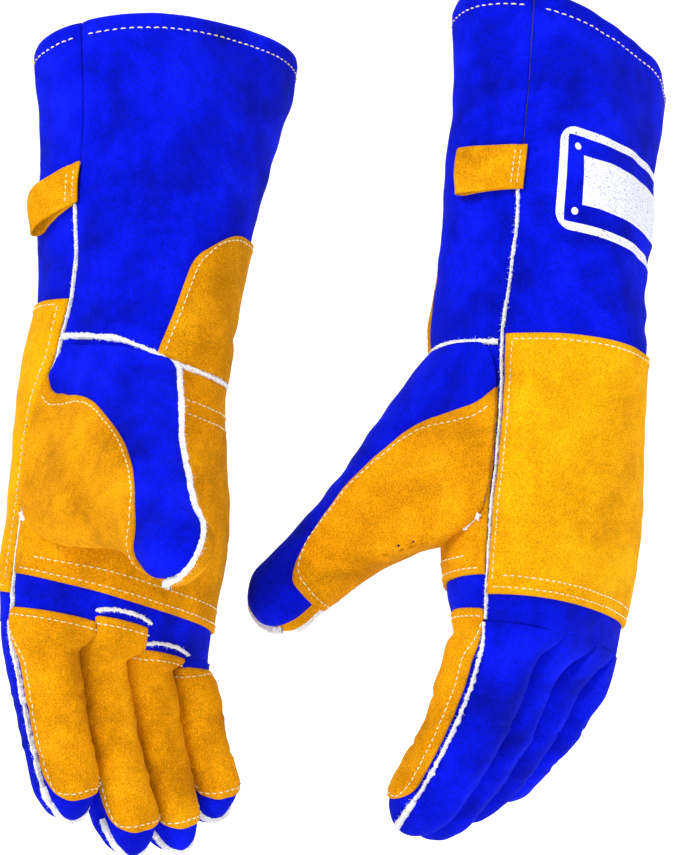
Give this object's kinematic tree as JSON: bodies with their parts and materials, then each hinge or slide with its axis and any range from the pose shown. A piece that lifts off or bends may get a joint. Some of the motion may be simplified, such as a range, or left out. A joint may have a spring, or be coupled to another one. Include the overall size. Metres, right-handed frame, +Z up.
{
  "type": "welding gloves",
  "caption": "Pair of long-cuffed welding gloves in blue suede with yellow wear patches, white welted seams, cotton lining and hang loops",
  "frame": {"origin": "the middle of the left glove's hang loop eye, where a hook holds the pair up", "axes": "+Z up the cuffs, +X from the right-hand glove to the left-hand glove, -Y towards a viewer who sees the right glove's palm and the left glove's back"},
  "size_m": [0.3281, 0.2546, 0.4147],
  "materials": {
    "blue_suede": "napped split leather, matt",
    "yellow_suede": "napped split leather, matt",
    "white_welt": "cut leather edge, fuzzy",
    "cotton_lining": "brushed cotton"
  },
  "bodies": {
    "right_hand": {"right_back_panel": "blue_suede", "right_cuff_palm_panel": "blue_suede", "right_palm_panel": "blue_suede", "right_palm_patch": "yellow_suede", "right_back_patch": "yellow_suede", "right_cuff_side_patch": "yellow_suede", "right_side_welt": "white_welt", "right_wrist_welt": "white_welt", "right_lining": "cotton_lining"},
    "right_thumb": {"right_thumb_back_panel": "blue_suede", "right_thumb_front_panel": "yellow_suede", "right_thumb_patch": "yellow_suede", "right_thumb_welt": "white_welt", "right_thumb_lining": "cotton_lining"},
    "right_hang_loop": {"right_hang_loop": "yellow_suede"},
    "right_index_finger": {"right_index_back_panel": "blue_suede", "right_index_front_panel": "blue_suede", "right_index_patch": "yellow_suede", "right_index_welt": "white_welt"},
    "right_middle_finger": {"right_middle_back_panel": "blue_suede", "right_middle_front_panel": "blue_suede", "right_middle_patch": "yellow_suede"},
    "right_ring_finger": {"right_ring_back_panel": "blue_suede", "right_ring_front_panel": "blue_suede", "right_ring_patch": "yellow_suede"},
    "right_little_finger": {"right_little_back_panel": "blue_suede", "right_little_front_panel": "blue_suede", "right_little_patch": "yellow_suede"},
    "left_hand": {"left_back_panel": "blue_suede", "left_cuff_palm_panel": "blue_suede", "left_palm_panel": "blue_suede", "left_palm_patch": "yellow_suede", "left_back_patch": "yellow_suede", "left_cuff_side_patch": "yellow_suede", "left_side_welt": "white_welt", "left_wrist_welt": "white_welt", "left_lining": "cotton_lining"},
    "left_thumb": {"left_thumb_back_panel": "blue_suede", "left_thumb_front_panel": "yellow_suede", "left_thumb_patch": "yellow_suede", "left_thumb_welt": "white_welt", "left_thumb_lining": "cotton_lining"},
    "left_hang_loop": {"left_hang_loop": "yellow_suede"},
    "left_index_finger": {"left_index_back_panel": "blue_suede", "left_index_front_panel": "blue_suede", "left_index_patch": "yellow_suede", "left_index_welt": "white_welt"},
    "left_middle_finger": {"left_middle_back_panel": "blue_suede", "left_middle_front_panel": "blue_suede", "left_middle_patch": "yellow_suede"},
    "left_ring_finger": {"left_ring_back_panel": "blue_suede", "left_ring_front_panel": "blue_suede", "left_ring_patch": "yellow_suede"},
    "left_little_finger": {"left_little_back_panel": "blue_suede", "left_little_front_panel": "blue_suede", "left_little_patch": "yellow_suede"}
  },
  "joints": [
    {"name": "right_glove_lift", "type": "slide", "parent": "left_hand", "child": "right_hand", "axis": [0, 0, 1], "range_m": [0, 0.12]},
    {"name": "right_index_knuckle", "type": "hinge", "parent": "right_hand", "child": "right_index_finger", "pos_m": [-0.20681, -0.01447, -0.2206], "axis": [-0.7586, -0.6365, -0.1392], "range_deg": [-8, 28]},
    {"name": "right_middle_knuckle", "type": "hinge", "parent": "right_hand", "child": "right_middle_finger", "pos_m": [-0.18598, 0.00301, -0.22713], "axis": [-0.7586, -0.6365, -0.1392], "range_deg": [-8, 28]},
    {"name": "right_ring_knuckle", "type": "hinge", "parent": "right_hand", "child": "right_ring_finger", "pos_m": [-0.16514, 0.0205, -0.23365], "axis": [-0.7586, -0.6365, -0.1392], "range_deg": [-8, 28]},
    {"name": "right_little_knuckle", "type": "hinge", "parent": "right_hand", "child": "right_little_finger", "pos_m": [-0.1443, 0.03798, -0.24018], "axis": [-0.7586, -0.6365, -0.1392], "range_deg": [-8, 28]},
    {"name": "right_thumb_swing", "type": "hinge", "parent": "right_hand", "child": "right_thumb", "pos_m": [-0.17307, -0.02285, -0.13019], "axis": [0.7261, 0.552, -0.41], "range_deg": [-9, 7]},
    {"name": "right_hang_loop_flap", "type": "hinge", "parent": "right_hand", "child": "right_hang_loop", "pos_m": [-0.19466, -0.00439, -0.00817], "axis": [0.0357, 0.0767, 0.9964], "range_deg": [0, 70]},
    {"name": "left_index_knuckle", "type": "hinge", "parent": "left_hand", "child": "left_index_finger", "pos_m": [-0.00334, -0.01243, -0.2206], "axis": [0.4951, 0.8576, 0.1392], "range_deg": [-8, 28]},
    {"name": "left_middle_knuckle", "type": "hinge", "parent": "left_hand", "child": "left_middle_finger", "pos_m": [0.01026, 0.01113, -0.22713], "axis": [0.4951, 0.8576, 0.1392], "range_deg": [-8, 28]},
    {"name": "left_ring_knuckle", "type": "hinge", "parent": "left_hand", "child": "left_ring_finger", "pos_m": [0.02386, 0.03468, -0.23365], "axis": [0.4951, 0.8576, 0.1392], "range_deg": [-8, 28]},
    {"name": "left_little_knuckle", "type": "hinge", "parent": "left_hand", "child": "left_little_finger", "pos_m": [0.03746, 0.05824, -0.24018], "axis": [0.4951, 0.8576, 0.1392], "range_deg": [-8, 28]},
    {"name": "left_thumb_swing", "type": "hinge", "parent": "left_hand", "child": "left_thumb", "pos_m": [-0.017, 0.01902, -0.1309], "axis": [-0.484, -0.773, 0.4101], "range_deg": [-9, 7]},
    {"name": "left_hang_loop_flap", "type": "hinge", "parent": "left_hand", "child": "left_hang_loop", "pos_m": [0.0156, -0.00348, -0.00045], "axis": [0.0914, 0.0655, 0.9937], "range_deg": [0, 70]}
  ]
}
